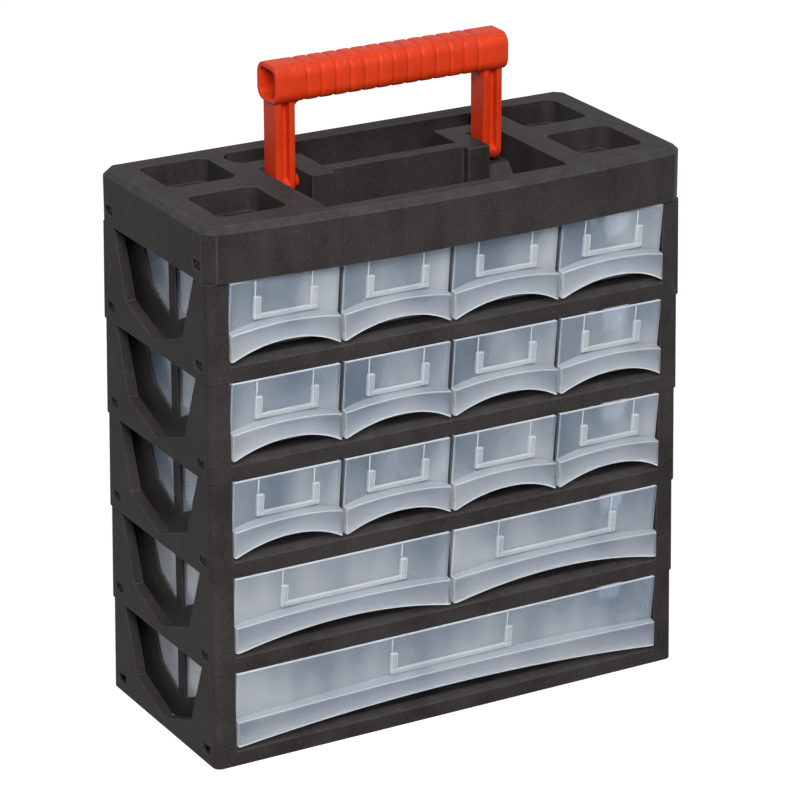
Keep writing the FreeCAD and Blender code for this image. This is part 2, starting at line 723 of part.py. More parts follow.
def carry_handle():
    """The handle: a ribbed hollow-ended grip on two grooved legs, with a pin at each foot."""
    body = new_body("carry_handle", 0, stack_height)
    low_y = S.hinge_middle - S.grip_depth / 2
    high_y = S.hinge_middle + S.grip_depth / 2
    grip_top = grip_foot + S.grip_height
    grip = new_sketch(body, "grip", "YZ_Plane")
    eight_sides(grip, low_y, high_y, grip_foot, grip_top, S.grip_round)
    pad(body, grip, 2 * S.grip_half, both_ways=True)

    ring = new_sketch(body, "ring", "YZ_Plane", -S.rib_pitch * (RING_COUNT - 1) / 2 - S.ring_width / 2)
    box_outline(ring, low_y - MARGIN, high_y + MARGIN, grip_foot - MARGIN, grip_top + MARGIN)
    deep = S.ring_depth
    eight_sides(ring, low_y + deep, high_y - deep, grip_foot + deep, grip_top - deep, S.grip_round - deep)
    groove = pocket(body, ring, S.ring_width, reverse=True)
    rings = body.newObject("PartDesign::LinearPattern", "rings")
    rings.Originals = [groove]
    rings.Direction = (ring, ["N_Axis"])
    rings.Occurrences = RING_COUNT
    rings.setExpression("Length", (S.rib_pitch * (RING_COUNT - 1)).formula)
    body.Tip = rings
    doc.recompute()

    wall = S.grip_wall
    hollow = new_sketch(body, "grip_hollow", "YZ_Plane", -S.grip_half - MARGIN)
    eight_sides(hollow, low_y + wall, high_y - wall, grip_foot + wall, grip_top - wall, S.grip_round - wall)
    hollow_cut = pocket(body, hollow, S.grip_hollow + MARGIN, reverse=True)

    leg = new_sketch(body, "leg", "YZ_Plane", -S.leg_inner - S.leg_width)
    leg_front = S.hinge_middle - S.leg_depth / 2
    leg_head = grip_foot + S.grip_wall / 2
    foot_radius = S.leg_depth / 2
    outline(leg, [
        (leg_front, S.hinge_height, foot_radius), (S.hinge_middle, S.hinge_height - foot_radius, foot_radius),
        (leg_back, S.hinge_height), (leg_back, leg_head), (leg_front, leg_head),
    ])
    leg_pad = pad(body, leg, S.leg_width)

    channel = new_sketch(body, "leg_groove", "XY_Plane", S.hinge_height)
    middle = -S.leg_inner - S.leg_width / 2
    half_groove = S.leg_groove / 2
    deep = S.groove_depth
    for low, high in ((leg_front - MARGIN, leg_front + deep), (leg_back - deep, leg_back + MARGIN)):
        box_outline(channel, middle - half_groove, middle + half_groove, low, high)
    channel_cut = pocket(body, channel, S.grip_rise - S.grip_wall, reverse=True)

    gusset = new_sketch(body, "gusset", "XZ_Plane", -S.hinge_middle)
    inner = -S.leg_inner
    outline(gusset, [
        (inner, grip_foot - S.gusset, -S.gusset), (inner + S.gusset, grip_foot),
        (inner + S.gusset, grip_foot + S.grip_wall), (inner - MARGIN, grip_foot + S.grip_wall),
        (inner - MARGIN, grip_foot - S.gusset),
    ])
    gusset_pad = pad(body, gusset, S.grip_depth - 2 * S.grip_round, both_ways=True)

    pin = new_sketch(body, "pin", "YZ_Plane", -S.leg_inner - MARGIN)
    circle_outline(pin, S.hinge_middle, S.hinge_height, S.pin_radius)
    pin_pad = pad(body, pin, S.pin_length + MARGIN)
    mirror(body, [hollow_cut, leg_pad, channel_cut, gusset_pad, pin_pad])
    return body


pieces = [top_tray(), carry_handle()]
for row, (kind, drawers) in enumerate(ROWS, start=1):
    foot = S.row_height * (len(ROWS) - row)
    pieces.append(drawer_frame(f"drawer_frame_{row}", foot, drawers))
    small = kind == "small_drawer"
    for column in range(drawers):
        label = f"{kind}_{row}_{column + 1}" if drawers > 1 else f"{kind}_{row}"
        label_half = S.small_label if small else S.large_label
        level_end = S.small_flat if small else S.large_flat
        pieces.append(drawer(label, column, drawers, foot, label_half, level_end))
doc.recompute()

for item in doc.Objects:
    if "Invalid" in item.State or "Error" in item.State:
        raise RuntimeError(f"{item.Label}: {item.State}")
for piece in pieces:
    if piece.Shape.isNull() or not piece.Shape.isValid() or len(piece.Shape.Solids) != 1:
        raise RuntimeError(f"{piece.Label}: not one valid solid")

os.makedirs("parts", exist_ok=True)
for piece in pieces:
    piece.Shape.exportStep(f"parts/{piece.Label}.step")
    print(f"{piece.Label}: {piece.Shape.Volume / 1000:.1f} cm3")
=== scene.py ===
# %% [markdown]
# # A carried drawer cabinet
# A stack of dark moulded frames holds fifteen see-through drawers under a top tray, and an orange handle
# folds down into the tray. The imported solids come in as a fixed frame. This lesson puts the finished
# surfaces on them: clear drawers and a ribbed handle worked out with numpy, softened frames, plastics, light
# and camera.

# %% Load the frame
import json
import math

import bmesh
import bpy
import numpy as np
from mathutils import Matrix, Vector


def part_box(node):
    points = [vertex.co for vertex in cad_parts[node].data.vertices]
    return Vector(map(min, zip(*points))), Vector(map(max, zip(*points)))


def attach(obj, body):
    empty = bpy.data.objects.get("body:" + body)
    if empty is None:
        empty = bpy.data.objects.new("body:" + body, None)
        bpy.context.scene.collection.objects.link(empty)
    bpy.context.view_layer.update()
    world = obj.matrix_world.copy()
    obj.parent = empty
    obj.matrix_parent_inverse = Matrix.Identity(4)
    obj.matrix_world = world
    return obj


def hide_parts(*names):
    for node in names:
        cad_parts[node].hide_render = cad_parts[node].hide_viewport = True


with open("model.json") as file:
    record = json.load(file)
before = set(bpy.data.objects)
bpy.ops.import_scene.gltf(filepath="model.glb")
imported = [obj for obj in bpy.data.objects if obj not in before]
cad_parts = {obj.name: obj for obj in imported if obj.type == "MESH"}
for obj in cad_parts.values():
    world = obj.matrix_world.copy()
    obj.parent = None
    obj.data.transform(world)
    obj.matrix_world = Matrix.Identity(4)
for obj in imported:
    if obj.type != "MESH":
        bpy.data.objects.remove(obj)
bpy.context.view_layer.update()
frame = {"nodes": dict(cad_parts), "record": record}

MM = 0.001
BODY_OF = {node: body for body, nodes in frame["record"]["behaviour"]["bodies"].items() for node in nodes}

# %% [markdown]
# ## From rings to a closed skin
# Most pieces here are one outline that changes as it is carried along a path: a drawer's tub is a rounded
# rectangle that grows, turns over the rim and comes down again. Such a shape could be extruded by hand, but
# stacking whole rings of points as one array keeps every size visible and gives clean quads.


# %% Rings, skins and meshes
def skin(rings):
    """A closed surface from a stack of rings with equal counts of points, with its faces outwards.

    Point (i, j) of ring i is joined to its neighbours (i, j + 1) and (i + 1, j), and the first and the last
    ring are closed with one face each. Six times the volume is the sum of a . (b x c) over all triangles.
    Where that is negative the faces look inwards, so each is turned round.
    """
    rings = np.asarray(rings, float)
    count, around = rings.shape[:2]
    points = rings.reshape(-1, 3)
    index = np.arange(count * around).reshape(count, around)
    after = np.roll(index, -1, axis=1)
    quads = np.stack([index[:-1], after[:-1], after[1:], index[1:]], axis=-1).reshape(-1, 4)
    ends = [index[0, ::-1], index[-1]]
    fans = [np.column_stack([np.full(around - 2, end[0]), end[1:-1], end[2:]]) for end in ends]
    triangles = np.concatenate([quads[:, [0, 1, 2]], quads[:, [0, 2, 3]]] + fans)
    first, second, third = np.moveaxis(points[triangles] - points.mean(axis=0), 1, 0)
    if np.sum(first * np.cross(second, third)) < 0:
        quads, ends = quads[:, ::-1], [end[::-1] for end in ends]
    return points, quads.tolist() + [end.tolist() for end in ends]


def rounded_ring(half_u, low_v, high_v, radius, steps=5):
    """Points round a rectangle with round corners, counterclockwise from its lower right.

    Each corner is its centre plus the radius times (cos a, sin a), where a runs over a quarter turn.
    """
    radius = min(radius, half_u * 0.98, (high_v - low_v) * 0.49)
    turn = np.linspace(0, math.pi / 2, steps)
    starts = np.array([-0.5, 0.0, 0.5, 1.0]) * math.pi
    angle = (starts[:, None] + turn[None, :]).ravel()
    centre_u = np.repeat(np.array([1, 1, -1, -1]) * (half_u - radius), steps)
    centre_v = np.repeat(np.array([low_v, high_v, high_v, low_v]) + np.array([1, -1, -1, 1]) * radius, steps)
    return np.stack([centre_u + radius * np.cos(angle), centre_v + radius * np.sin(angle)], axis=-1)


def soft_steps(radius, steps=4):
    """A quarter round as (along, inset) pairs: (r - r cos a, r - r sin a) for a from 0 to a quarter turn."""
    angle = np.linspace(0, math.pi / 2, steps)
    return np.stack([radius - radius * np.cos(angle), radius - radius * np.sin(angle)], axis=-1)


def make_piece(name, parts, body, nodes, sharp=40):
    """One object from several skins, riding on its body and standing for its nodes.

    A part is its points and faces, and may add three numbers for each point: how white its edge is, how
    rough its moulded grain is and how milky it is, which on the tubs also carries painted shade.
    """
    points, faces, start = [], [], 0
    marks = {"edge": [], "grain": [], "haze_and_shade": []}
    for part_points, part_faces, *extra in parts:
        points.append(part_points)
        faces.extend([[corner + start for corner in face] for face in part_faces])
        start += len(part_points)
        for values, given in zip(marks.values(), extra + [0.0, 0.0, 0.0][len(extra):]):
            values.append(np.broadcast_to(given, len(part_points)))
    mesh = bpy.data.meshes.new(name)
    mesh.from_pydata(np.concatenate(points), [], faces)
    for mark, values in marks.items():
        layer = mesh.attributes.new(mark, "FLOAT", "POINT")
        layer.data.foreach_set("value", np.concatenate(values).astype(np.float32))
    tidy = bmesh.new()
    tidy.from_mesh(mesh)
    bmesh.ops.dissolve_degenerate(tidy, edges=tidy.edges, dist=1e-7)
    tidy.to_mesh(mesh)
    tidy.free()
    mesh.polygons.foreach_set("use_smooth", np.ones(len(mesh.polygons), bool))
    mesh.set_sharp_from_angle(angle=math.radians(sharp))
    piece = bpy.data.objects.new(name, mesh)
    bpy.context.scene.collection.objects.link(piece)
    flat_first(piece)
    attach(piece, body)
    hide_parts(*nodes)
    return piece


def flat_first(piece):
    """Corner normals that follow the larger faces, so that flats stay flat beside rounds."""
    weighted = piece.modifiers.new("flat_first", "WEIGHTED_NORMAL")
    weighted.keep_sharp = True
    weighted.weight = 100


# %% [markdown]
# ## The clear drawers
# Each drawer is one moulding: an open tub with a leaning front, a pull under a crowned ledge, and a holder
# for a paper label. The edges look whiter than the walls, because there one looks along the plastic and not
# through it. The tub could be a block with a hollow cut out. Stacked rings were chosen, because they also
# give the soft foot, the rolled rim and the rounded floor, and they know which points lie on an edge.
#
# The main sizes are those of the solids, apart from the pull's place, its ends and the hollow behind it.
# These follow the photograph more closely than the solids do.

# %% Sizes of a drawer
WALL, FLOOR = 1.4 * MM, 1.6 * MM
FRONT_LEAN, BACK_LEAN = 5.0 * MM, 2.0 * MM
CORNER, PULL_CORNER = 0.9 * MM, 0.7 * MM
FOOT_ROUND, RIM_ROUND, FLOOR_ROUND = 0.8 * MM, 0.5 * MM, 1.6 * MM
SOLID_REACH, DRAWER_PROUD = 9.5 * MM, 1.0 * MM
LEDGE_END, LEDGE_RISE, PULL_ARCH = 15.2 * MM, 4.55 * MM, 9.4 * MM
PULL_PROUD, PULL_BOW = 0.4 * MM, 4.0 * MM
PULL_EDGE, PULL_LIP = 0.35 * MM, 0.3 * MM
FINGER_ROOM, FINGER_HEIGHT = 9.0 * MM, 15.0 * MM
LEDGE_SLOPE = math.tan(math.radians(12))
LABEL_FOOT, LABEL_HEIGHT, LABEL_BAR = 21.8 * MM, 13.2 * MM, 2.6 * MM
LABEL_POST, LABEL_PROUD = 4.2 * MM, 2.2 * MM


class Drawer:
    """Where one drawer's faces are: half width, foot, height, and the leaning front and back walls.

    The solid's pull is its foremost point, SOLID_REACH before the frame's face, and gives the rim's place.
    The painted-shade ends say how milky, so how light or shaded, the tub is painted at left and right.
    """

    def __init__(self, node):
        low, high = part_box(node)
        small = node.startswith("small")
        self.middle = (low.x + high.x) / 2
        self.half = (high.x - low.x) / 2
        self.foot = low.z
        self.height = high.z - low.z
        self.front_top = low.y + SOLID_REACH - DRAWER_PROUD
        self.back_top = high.y
        self.label_half = (19.4 if small else 40.0) * MM
        self.level_end = (1.0 if small else 2.0) * MM
        self.painted_shade_ends = (-0.2, 0.4) if small else (0.45, 0.1)

    def front(self, z):
        """The front wall's outer face at a height: it leans forward by FRONT_LEAN from foot to top.

        Under the pull it also runs back in a parabola, which leaves room for the fingers.
        """
        below = np.clip(1 - z / FINGER_HEIGHT, 0, 1)
        return self.front_top + FRONT_LEAN * (1 - z / self.height) + FINGER_ROOM * below ** 2

    def back(self, z):
        """The back wall's outer face at a height: it leans back by BACK_LEAN from foot to top."""
        return self.back_top - BACK_LEAN * (1 - z / self.height)

    def place(self, points):
        """From the drawer's own axes to the shared frame."""
        return np.asarray(points) + np.array([self.middle, 0, self.foot])


# %% The tub
RIM_BAND_OUTSIDE, RIM_BAND_INSIDE, LEAST_CORNER = 0.9 * MM, 1.6 * MM, 0.5 * MM
RIM_WHITE, NEAR_RIM_WHITE = 0.8, 0.15
CORNER_WHITE = [0.0, 0.3, 0.6, 0.3, 0.0]
PAINTED_LIGHT_BELOW = 1.15


def tub(drawer):
    """The tub's skin: rings that round the foot, climb, roll over the rim and come down to the floor.

    Each step of the path is a ring's height, its inset from the outer face and how white it is.
    """
    height = drawer.height
    rim = soft_steps(RIM_ROUND)
    hollow = np.linspace(0.2, 1, 5) * FINGER_HEIGHT
    path = [(z, inset, 0) for z, inset in soft_steps(FOOT_ROUND)]
    path += [(z, 0, 0) for z in hollow]
    path += [(height * 0.5, 0, 0), (height - RIM_BAND_OUTSIDE, 0, NEAR_RIM_WHITE)]
    path += [(height - RIM_ROUND + a, RIM_ROUND - b, RIM_WHITE) for b, a in rim]
    path += [(height - a, WALL - RIM_ROUND + b, RIM_WHITE) for a, b in RIM_ROUND - rim[::-1, ::-1]]
    path += [(height - RIM_BAND_INSIDE, WALL, NEAR_RIM_WHITE), (height * 0.5, WALL, 0)]
    path += [(z, WALL, 0) for z in hollow[:0:-1]]
    path += [(FLOOR + FLOOR_ROUND - a, WALL + FLOOR_ROUND - b, 0) for b, a in soft_steps(FLOOR_ROUND)]
    rings = []
    for z, inset, _ in path:
        ring = rounded_ring(drawer.half - inset, drawer.front(z) + inset, drawer.back(z) - inset,
                            max(CORNER - inset / 2, LEAST_CORNER))
        rings.append(np.column_stack([ring, np.full(len(ring), z)]))
    points, faces = skin(rings)
    corner = np.tile(CORNER_WHITE, 4)
    white = np.maximum(np.array([row[2] for row in path])[:, None], corner[None, :]).ravel()
    # Painted shade: the tub is painted milkier, so lighter, towards its foot and one end, and clearer, so
    # darker and bluer, towards its top and the other end.
    low_down = 1 - points[:, 2] / height
    painted_side_shade = np.interp(points[:, 0] / drawer.half, (-1, 1), drawer.painted_shade_ends)
    milky = np.clip(PAINTED_LIGHT_BELOW * low_down + painted_side_shade, 0, 1)
    return drawer.place(points), faces, white, 0.0, milky


# %% [markdown]
# ## The pull
# The pull is a thin bowed apron: its ledge rises to a crown in the middle and falls a little to the front,
# its lower edge is arched to let the fingers in, and short returns at both ends tie it to the tub. It could
# be cut from a block, but a section carried across the drawer is closer to the mould: at each place the
# section is a hooked strip, and at the ends the strip fills up to make the returns.


# %% One section carried across
def arch(across, half, rise):
    """Height of a circle's arc over a chord of 2 * half with that rise, and nought outside the chord."""
    radius = (half * half + rise * rise) / (2 * rise)
    inside = np.clip(radius ** 2 - across ** 2, 0, None)
    return np.clip(np.sqrt(inside) - (radius - rise), 0, None) * (np.abs(across) < half)


def pull_stations(half):
    """Places across the pull, closer together round its end corners, and where its section is solid."""
    near_end = half - PULL_CORNER * (1 - np.cos(np.linspace(0, math.pi / 2, 6)))
    inner, just_past = half - WALL, 0.05 * MM
    count = 34 if half < 50 * MM else 60
    right = np.unique(np.append(near_end, inner + just_past))
    across = np.concatenate([-right[::-1], np.linspace(-inner, inner, count), right])
    solid = np.concatenate([np.ones(len(right)), np.zeros(count), np.ones(len(right))]) > 0
    return across, solid


# %% The pull's rows of points
FACE_ROWS = ((0.04, 0.0), (0.35, 0.0), (0.7, 0.0), (0.93, 0.0), (0.96, 0.9))
LEDGE_WHITE, EDGE_WHITE, END_WHITE, END_BAND = 0.12, 0.8, 0.5, 0.5 * MM


def pull(drawer):
    """The pull's skin: sections in depth and height, one for each place across the drawer.

    The bulge is an arc that is 1 in the middle and 0 at the ends. The ledge is LEDGE_END high plus LEDGE_RISE
    times the bulge, and the front bows out by PULL_BOW times the bulge.
    """
    half, edge, lip = drawer.half, PULL_EDGE, PULL_LIP
    across, solid = pull_stations(half)
    past = np.clip(np.abs(across) - (half - PULL_CORNER), 0, PULL_CORNER)
    back_off = PULL_CORNER - np.sqrt(np.clip(PULL_CORNER ** 2 - past ** 2, 0, None))
    bulge = arch(across, half, LEDGE_RISE) / LEDGE_RISE
    crown = LEDGE_END + LEDGE_RISE * bulge
    front = drawer.front_top - PULL_PROUD - PULL_BOW * bulge + back_off
    under = arch(across, half - drawer.level_end, PULL_ARCH)
    rows, white, grain, milky = [], [], [], []

    def ledge(y):
        """The ledge's height at a depth: it falls to the front by LEDGE_SLOPE."""
        return crown + LEDGE_SLOPE * (y - front)

    def filled(y):
        """The depth y, or the tub's wall where the section is solid."""
        return np.where(solid, drawer.front(0) + WALL / 2, y)

    def add(y, z, bright=0.0, rough=0.0, milk=0.3):
        """One row of points across the drawer, and its three marks."""
        depth, height = np.broadcast_to(y, across.shape), np.broadcast_to(z, across.shape)
        rows.append(np.stack([across, depth, height], axis=-1))
        white.append(bright)
        grain.append(rough)
        milky.append(milk)

    turn = np.linspace(0, math.pi / 2, 5)
    wall_y = drawer.front(crown) + WALL / 2
    inner_y = front + WALL
    edge_top = ledge(front + edge)
    for y in (wall_y, (wall_y + front + edge) / 2, front + 1.6 * edge):
        add(y, ledge(y), LEDGE_WHITE, milk=1.0)
    for angle in turn:
        add(front + edge * (1 - math.sin(angle)), edge_top - edge * (1 - math.cos(angle)), EDGE_WHITE)
    for share, bright in FACE_ROWS:
        add(front, (1 - share) * (edge_top - edge) + share * (under + lip), bright, 1 - bright)
    add(front, under + lip, 1.0)
    for angle in turn[1:]:
        add(front + lip * (1 - math.cos(angle)), under + lip * (1 - math.sin(angle)), 1.0)
    for angle in turn[1:]:
        hooked = inner_y - lip + lip * math.sin(angle)
        add(filled(hooked), under + lip * (1 - math.cos(angle)) * ~solid, 1.0)
    for y in (inner_y, wall_y):
        add(filled(y), np.where(solid, under, ledge(y) - WALL))
    rings = np.stack(rows, axis=1)
    points, faces = skin(rings)
    bright = np.tile(white, len(across))
    at_end = np.repeat(np.abs(across) > half - END_BAND, len(rows)) * END_WHITE
    return (drawer.place(points), faces, np.maximum(bright, at_end), np.tile(grain, len(across)),
            np.tile(milky, len(across)))


# %% [markdown]
# ## The label holder
# Two posts and a bar stand proud of the leaning front and hold a paper label on three sides. Each post has a
# sunk face, which shows as a pale outline. A thin raised line runs from each post to the rim, where the
# mould has a step. Each could be a box with a bevel, but rings in the plane of the front, pushed out and then
# in again, give the bar, the posts and the lines alike.


# %% Bars on a leaning front
BAR_ROUND, BAR_TUCK, POST_SUNK = 0.35 * MM, 0.6 * MM, 0.9 * MM
LINE_HALF, LINE_PROUD, LINE_ROUND, LINE_ASIDE = 0.35 * MM, 0.45 * MM, 0.2 * MM, 0.9 * MM
LINE_OVERLAP, LINE_BELOW_RIM = 0.5 * MM, 0.8 * MM
SUNK_EDGE, SUNK_FOOT = 0.75 * MM, 0.95 * MM
BAR_WHITE, SUNK_WHITE, BAR_MILK = 0.55, 0.3, 0.9


def front_bar(drawer, left, right, low, high, proud, sunk=0.0, radius=0.5 * MM):
    """A rounded bar on the front: rings of (proud, inset) from inside the wall to the bar's sunk face."""
    path = [(-WALL / 2, 0)]
    path += [(proud - BAR_ROUND + a, BAR_ROUND - b) for b, a in soft_steps(BAR_ROUND, 3)]
    if sunk:
        path += [(proud, SUNK_EDGE), (proud - sunk, SUNK_FOOT)]
    rings = []
    for out, inset in path:
        ring = rounded_ring((right - left) / 2 - inset, low + inset, high - inset, radius, 4)
        z = ring[:, 1]
        rings.append(np.stack([ring[:, 0] + (left + right) / 2, drawer.front(z) - out, z], axis=-1))
    points, faces = skin(rings)
    white = np.repeat([BAR_WHITE] * (len(path) - 1) + [SUNK_WHITE], len(rings[0]))
    return drawer.place(points), faces, white, 0.0, BAR_MILK


def label_holder(drawer):
    """The bar, the two posts with sunk faces, and the thin line above each post."""
    half = drawer.label_half
    bar_top = LABEL_FOOT + LABEL_BAR
    top = LABEL_FOOT + LABEL_HEIGHT
    parts = [front_bar(drawer, -half + BAR_TUCK, half - BAR_TUCK, LABEL_FOOT, bar_top, LABEL_PROUD)]
    for side in (-1, 1):
        outer, inner = side * half, side * (half - LABEL_POST)
        left, right = min(outer, inner), max(outer, inner)
        parts.append(front_bar(drawer, left, right, LABEL_FOOT, top, LABEL_PROUD, sunk=POST_SUNK))
        line = (left + right) / 2 - LINE_ASIDE
        parts.append(front_bar(drawer, line - LINE_HALF, line + LINE_HALF, top - LINE_OVERLAP,
                               drawer.height - LINE_BELOW_RIM, LINE_PROUD, radius=LINE_ROUND))
    return parts


drawers = []
for node in sorted(frame["nodes"]):
    if "_drawer" in node and not node.startswith("drawer_frame"):
        drawer = Drawer(node)
        parts = [tub(drawer), pull(drawer)] + label_holder(drawer)
        drawers.append(make_piece(f"{node}_clear", parts, BODY_OF[node], [node]))
print("drawers:", len(drawers), "faces each:", len(drawers[0].data.polygons))

# %% [markdown]
# ## The handle
# The grip is a hollow-ended bar with soft ribs, and two grooved legs carry it on moulded pins. The ribs could
# be separate rings, but on the real one they are the same skin, swelling and dipping. So one rounded outline
# is carried from inside one hollow end to the other, and shrinks a little at each groove.

# %% Sizes of the handle
handle_low, handle_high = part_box("carry_handle")
GRIP_TOP, GRIP_HEIGHT, GRIP_DEPTH, GRIP_ROUND = handle_high.z, 22 * MM, 24 * MM, 7 * MM
GRIP_HALF, GRIP_FOOT = handle_high.x, GRIP_TOP - GRIP_HEIGHT
LEG_INNER, LEG_WIDTH, LEG_DEPTH = 60.2 * MM, 12.5 * MM, 15 * MM
HINGE_Y = (handle_low.y + handle_high.y) / 2
HINGE_Z = handle_low.z + LEG_DEPTH / 2


# %% The ribbed grip
RIB_PITCH, RIB_DEPTH, RIBS, STEPS_PER_RIB = 9.1 * MM, 0.95 * MM, 13, 16
GRIP_WALL, GRIP_HOLLOW, GRIP_END_ROUND, LEAST_ROUND = 3.2 * MM, 9 * MM, 1.0 * MM, 2 * MM
HOLLOW_ROUND, MOUTH_LIP, MOUTH_FLARE = 0.8 * MM, 0.1 * MM, 0.7 * MM
RUBBED_SPREAD = 1.3


def grip_inset(x):
    """How far the skin lies under the grip's outline: a sharp dip at each groove, and a faint swell between.

    With t the distance to the nearest groove over half a pitch, the inset is RIB_DEPTH times (1 - t) to the
    power 5.
    """
    nearest = np.round(x / RIB_PITCH) * RIB_PITCH
    nearest = np.clip(nearest, -(RIBS - 1) / 2 * RIB_PITCH, (RIBS - 1) / 2 * RIB_PITCH)
    t = np.clip(np.abs(x - nearest) / (RIB_PITCH / 2), 0, 1)
    return RIB_DEPTH * (1 - t) ** 5


def grip():
    """The grip's skin from one hollow end to the other. Its edge mark grows towards the upper corners."""
    end, wall = -GRIP_HALF, GRIP_WALL
    run = np.linspace(-(RIBS / 2) * RIB_PITCH, (RIBS / 2) * RIB_PITCH, RIBS * STEPS_PER_RIB + 1)
    left = [(end + GRIP_HOLLOW, wall + HOLLOW_ROUND), (end + GRIP_HOLLOW - HOLLOW_ROUND, wall)]
    left += [(end + HOLLOW_ROUND, wall), (end + MOUTH_LIP, wall - MOUTH_FLARE)]
    left += [(end + a, b) for a, b in soft_steps(GRIP_END_ROUND)]
    middle = np.column_stack([run, grip_inset(run)])
    path = np.concatenate([left, middle, np.array(left[::-1]) * [-1, 1]])
    rings = []
    for x, inset in path:
        ring = rounded_ring(GRIP_DEPTH / 2 - inset, GRIP_FOOT + inset, GRIP_TOP - inset,
                            max(GRIP_ROUND - inset, LEAST_ROUND), 8)
        rings.append(np.stack([np.full(len(ring), x), ring[:, 0] + HINGE_Y, ring[:, 1]], axis=-1))
    points, faces = skin(rings)
    upper_corner = (np.abs(points[:, 1] - HINGE_Y) - GRIP_DEPTH / 2 + points[:, 2] - GRIP_TOP) / GRIP_ROUND
    return points, faces, np.clip(1 + upper_corner / RUBBED_SPREAD, 0, 1) ** 2


# %% Legs, pins and curved corners
LEG_ROUND, LEG_IN_GRIP = 1.2 * MM, 2.5 * MM
GROOVE_HALF, GROOVE_DEPTH, GROOVE_SOFT = 2.4 * MM, 4.8 * MM, 0.5 * MM
GROOVE_START, GROOVE_FULL, FOOT_GROOVE, LEAST_GROOVE = 1.5 * MM, 3 * MM, 0.6 * MM, 0.55 * MM
PIN_RADIUS, PIN_TIP, PIN_ROOT, PIN_SHOULDER, PIN_LENGTH = 4 * MM, 3.3 * MM, 1 * MM, 10.3 * MM, 11 * MM
CORNER_SIZE, CORNER_BEYOND = 5 * MM, 2 * MM
CORNER_DEPTHS = np.array([-5.2, -5.0, 5.0, 5.2]) * MM


def leg_ring(half_x, half_y, depth, radius):
    """A leg's outline: a rounded rectangle with a groove let into its front and its back."""
    turn = np.linspace(0, math.pi / 2, 4)
    corner = np.stack([half_x - radius + radius * np.cos(turn), half_y - radius + radius * np.sin(turn)], -1)
    groove, soft = GROOVE_HALF, GROOVE_SOFT
    notch = np.array([
        [groove + soft, half_y], [groove + soft * 0.3, half_y - soft * 0.3], [groove, half_y - soft],
        [groove, half_y - depth + soft], [groove - soft, half_y - depth],
    ])
    quarter = np.concatenate([corner, notch])
    top = np.concatenate([quarter, quarter[::-1] * [-1, 1]])
    return np.concatenate([top, -top])


def leg(side):
    """Rings up the leg: below the pin its depth follows the round foot, y = sqrt(r^2 - drop^2)."""
    radius = LEG_DEPTH / 2
    drop = np.linspace(0.985, 0, 9) * radius
    top = GRIP_FOOT + LEG_IN_GRIP
    heights = np.concatenate([HINGE_Z - drop, [HINGE_Z + GROOVE_START, HINGE_Z + GROOVE_FULL, top]])
    half_y = np.concatenate([np.sqrt(radius ** 2 - drop ** 2), [radius] * 3])
    depth = np.concatenate([np.full(len(drop), FOOT_GROOVE), [GROOVE_DEPTH / 2, GROOVE_DEPTH, GROOVE_DEPTH]])
    depth = np.minimum(depth, half_y * 0.6)
    middle = [side * (LEG_INNER + LEG_WIDTH / 2), HINGE_Y]
    rings = []
    for z, half, deep in zip(heights, half_y, depth):
        ring = leg_ring(LEG_WIDTH / 2, half, max(deep, LEAST_GROOVE), min(LEG_ROUND, half * 0.5))
        rings.append(np.column_stack([ring + middle, np.full(len(ring), z)]))
    return skin(rings)


def curved_corner(side):
    """The concave corner between leg and grip: a quarter circle's outline carried through its depth."""
    size, foot = CORNER_SIZE, GRIP_FOOT
    turn = np.linspace(0, math.pi / 2, 9)
    hollow = np.array([LEG_INNER - size, foot - size]) + size * np.stack([np.cos(turn), np.sin(turn)], -1)
    back_x, back_z = LEG_INNER + CORNER_BEYOND, foot + CORNER_BEYOND
    shape = np.concatenate([hollow, [[LEG_INNER - size, back_z], [back_x, back_z], [back_x, foot - size]]])
    rings = []
    for y in CORNER_DEPTHS:
        rings.append(np.stack([side * shape[:, 0], np.full(len(shape), HINGE_Y + y), shape[:, 1]], -1))
    return skin(rings)


def pin(side):
    """A round pin from the leg's inner face, with a small chamfer on its end."""
    angle = np.linspace(0, 2 * math.pi, 33)[:-1]
    rings = []
    for x, radius in ((LEG_INNER + PIN_ROOT, PIN_RADIUS), (LEG_INNER - PIN_SHOULDER, PIN_RADIUS),
                      (LEG_INNER - PIN_LENGTH, PIN_TIP)):
        rings.append(np.stack([np.full(len(angle), side * x), HINGE_Y + radius * np.cos(angle),
                               HINGE_Z + radius * np.sin(angle)], -1))
    return skin(rings)


parts = [grip()]
for side in (-1, 1):
    parts += [leg(side), curved_corner(side), pin(side)]
handle = make_piece("carry_handle_ribbed", parts, "handle", ["carry_handle"], sharp=50)
print("handle faces:", len(handle.data.polygons))

# %% [markdown]
# ## Softened frames and tray
# The frames and the tray keep the shape of their solids, but no moulding has knife edges. They could be built
# again from rings, but their solids already have the shape. So a copy of each is merged, its flat triangles
# are joined into whole faces, and a small bevel runs along every sharp edge, where the light catches it.


# %% Copies with rounded edges
MERGE_WITHIN = 0.05 * MM
SLOPE_LOW, SLOPE_HIGH = 0.4, 0.9
SLOPE_SHEEN, ROUND_WORN = 0.45, 0.6


